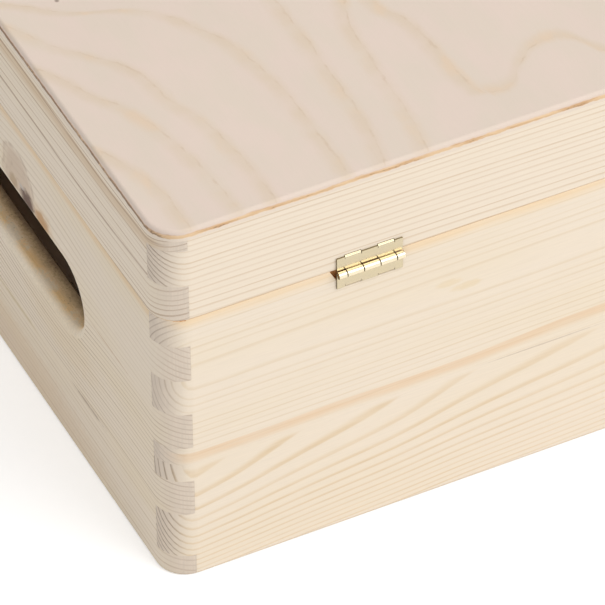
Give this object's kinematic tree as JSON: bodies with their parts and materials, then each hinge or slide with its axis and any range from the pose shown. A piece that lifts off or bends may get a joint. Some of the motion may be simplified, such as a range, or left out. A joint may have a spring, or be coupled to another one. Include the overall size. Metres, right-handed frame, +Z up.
{
  "type": "kindling box",
  "caption": "Small lidded wooden box with finger-jointed corners, rounded hand slots in its side walls and a plywood lid on small brass hinges.",
  "frame": {"origin": "on the floor, under the middle of the outline box of the closed box with its hinges", "axes": "+X along the long walls to the right, seen from the front; +Y from the front wall to the back wall, which carries the hinges; +Z up"},
  "size_m": [0.3, 0.2126, 0.14],
  "materials": {
    "pine": "bare sanded pine",
    "plywood": "bare sanded birch veneer",
    "brass_plate": "bright brass plating"
  },
  "bodies": {
    "box": {"back_board_lower": "pine", "back_board_upper": "pine", "front_board_lower": "pine", "front_board_upper": "pine", "right_side_lower": "pine", "right_side_upper": "pine", "left_side_lower": "pine", "left_side_upper": "pine", "bottom_panel": "plywood", "hinge_box_leaf_left": "brass_plate", "hinge_box_leaf_right": "brass_plate", "hinge_pin_left": "brass_plate", "hinge_pin_right": "brass_plate"},
    "lid": {"lid_back_rail": "pine", "lid_front_rail": "pine", "lid_right_rail": "pine", "lid_left_rail": "pine", "lid_panel": "plywood", "hinge_lid_leaf_left": "brass_plate", "hinge_lid_leaf_right": "brass_plate"}
  },
  "joints": [
    {"name": "lid_hinge", "type": "hinge", "parent": "box", "child": "lid", "pos_m": [0, 0.10505, 0.1035], "axis": [-1, 0, 0], "range_deg": [0, 180]}
  ]
}
